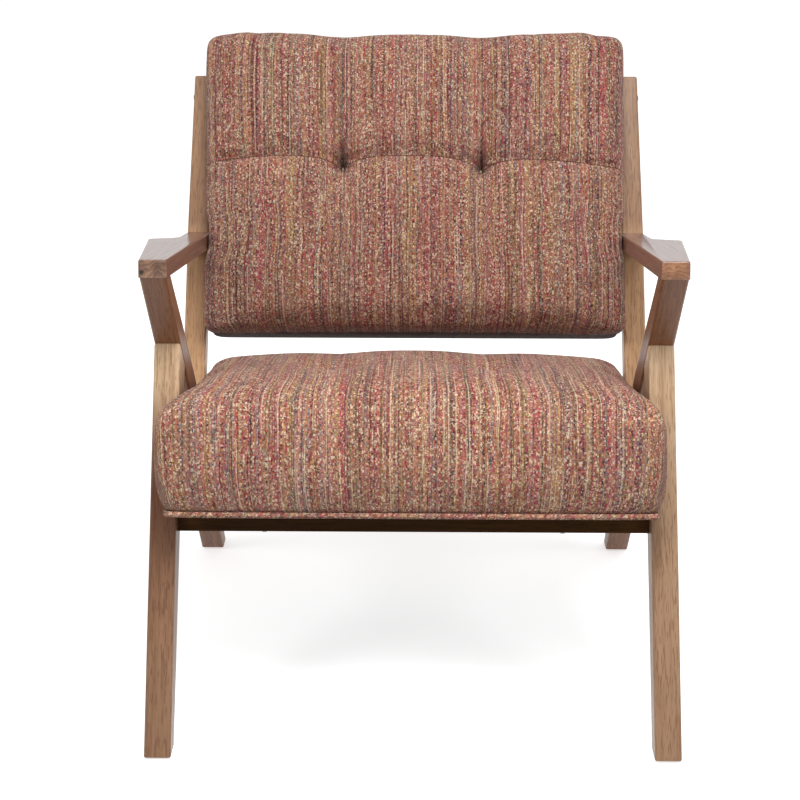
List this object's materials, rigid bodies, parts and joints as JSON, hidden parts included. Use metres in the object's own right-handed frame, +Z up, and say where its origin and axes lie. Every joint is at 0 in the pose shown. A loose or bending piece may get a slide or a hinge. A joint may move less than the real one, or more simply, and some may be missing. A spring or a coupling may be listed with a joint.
{
  "type": "lounge chair",
  "caption": "Lounge chair with open wooden side frames and sloping paddle arms, a reclined tufted back and a crowned welted seat, to sit back in with the arms supported.",
  "frame": {"origin": "on the floor, at the middle of the chair's overall width and depth", "axes": "+Z up; -Y towards the front of the seat, where the sitter's knees are; +X to the right of someone who looks at the chair from the front"},
  "size_m": [0.7398, 0.7084, 0.8105],
  "materials": {
    "walnut": "satin lacquer over light walnut-brown wood",
    "dark_walnut": "satin lacquer, darker brown",
    "beech": "bare beech dowel, sanded",
    "pine": "bare sawn softwood",
    "tweed": "heathered woven upholstery with fine vertical stripes",
    "foam": "cut upholstery foam",
    "webbing": "woven elastic webbing",
    "black_cloth": "thin non-woven dust cloth",
    "thread": "waxed upholstery twine",
    "steel": "plain zinc-plated steel",
    "glide": "moulded black nylon"
  },
  "bodies": {
    "root": {"front_leg_left": "walnut", "front_leg_right": "walnut", "rear_leg_left": "walnut", "rear_leg_right": "walnut", "back_post_left": "walnut", "back_post_right": "walnut", "arm_left": "walnut", "arm_right": "walnut", "front_rail": "dark_walnut", "rear_rail": "dark_walnut", "frame_dowels": "beech", "rail_dowels": "beech", "seat_frame_front": "pine", "seat_frame_rear": "pine", "seat_frame_side_left": "pine", "seat_frame_side_right": "pine", "seat_corner_blocks": "pine", "seat_straps_across": "webbing", "seat_straps_along": "webbing", "seat_foam_base": "foam", "seat_foam_crown": "foam", "seat_cover": "tweed", "seat_welt": "tweed", "seat_dust_cover": "black_cloth", "seat_screws": "steel", "back_frame_top": "pine", "back_frame_bottom": "pine", "back_stile_left": "pine", "back_stile_right": "pine", "back_straps_across": "webbing", "back_straps_up": "webbing", "back_foam": "foam", "back_cover": "tweed", "back_panel": "tweed", "back_bolts": "steel", "back_nuts": "steel", "back_pins": "steel", "tuft_ties": "thread", "foot_glides": "glide"}
  },
  "joints": []
}
